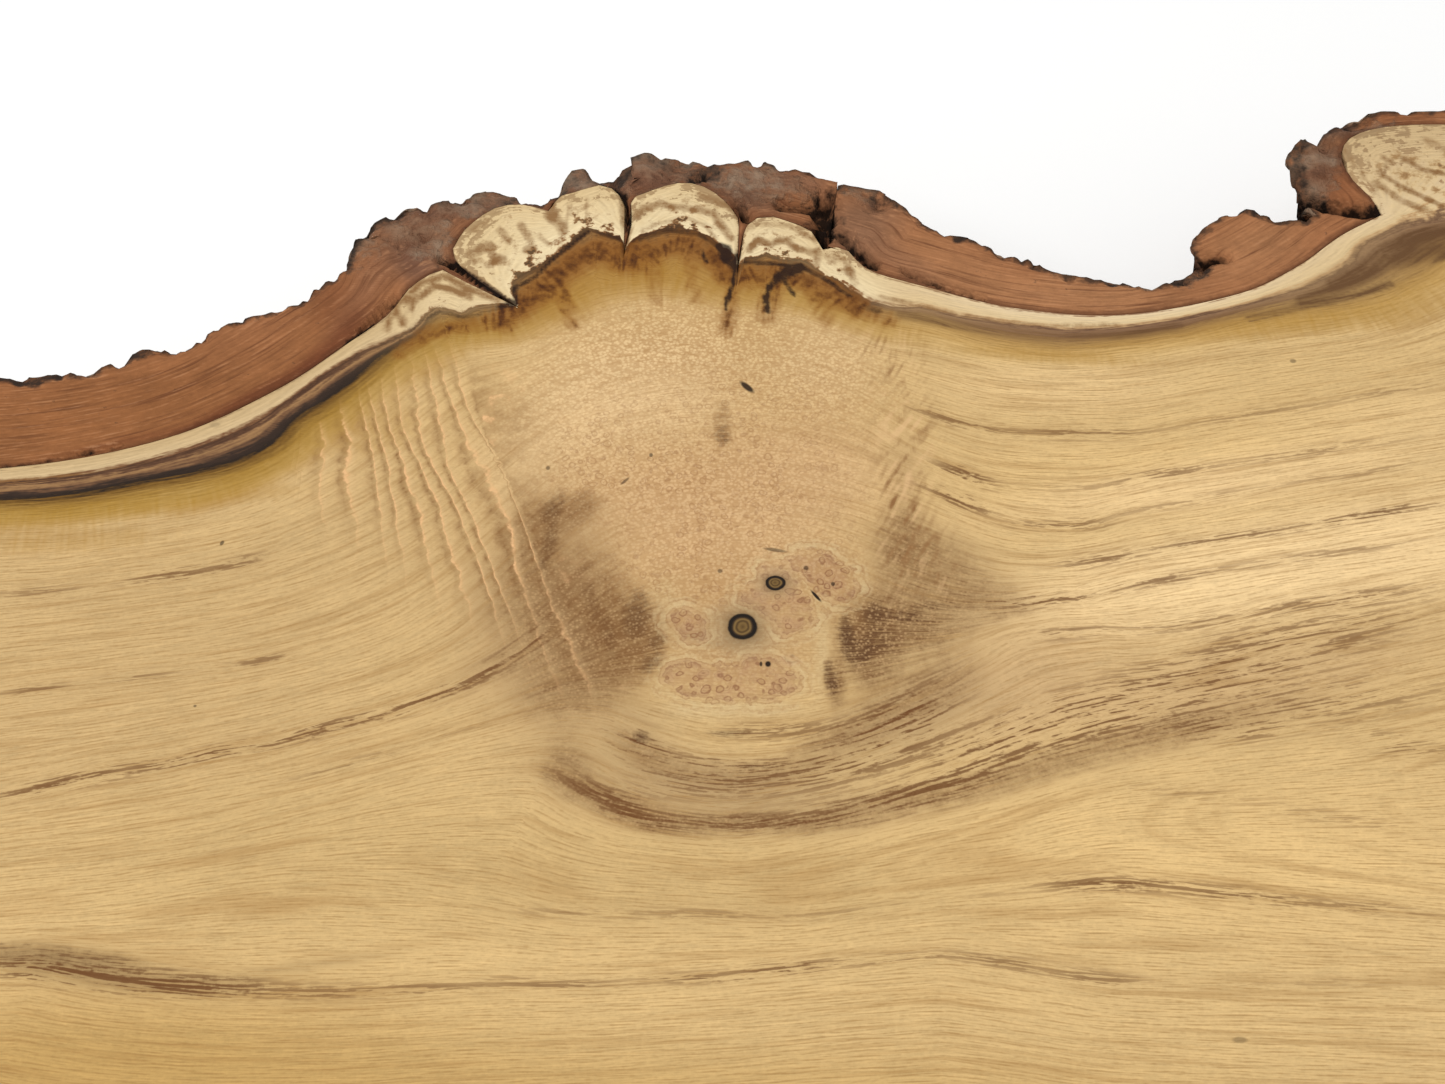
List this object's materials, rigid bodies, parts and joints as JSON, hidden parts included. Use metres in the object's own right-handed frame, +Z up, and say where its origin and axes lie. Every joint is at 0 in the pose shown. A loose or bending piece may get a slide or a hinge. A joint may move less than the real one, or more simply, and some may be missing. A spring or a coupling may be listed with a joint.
{
  "type": "live-edge wood slab",
  "caption": "Planed flat-sawn slab with bark on both long edges, a burl with included crevices and a second lump on the far edge.",
  "frame": {"origin": "middle of the slab's bounding box, on the lower face that it rests on", "axes": "+X along the grain and the long edges, +Y towards the burled edge, +Z up through the thickness"},
  "size_m": [0.72, 0.4222, 0.05],
  "materials": {
    "wood": "planed and sanded, no varnish, satin",
    "bark": "rough dry bark, planed where it meets the upper face"
  },
  "bodies": {
    "root": {"slab_wood": "wood", "bark_far_edge": "bark", "bark_near_edge": "bark"}
  },
  "joints": []
}
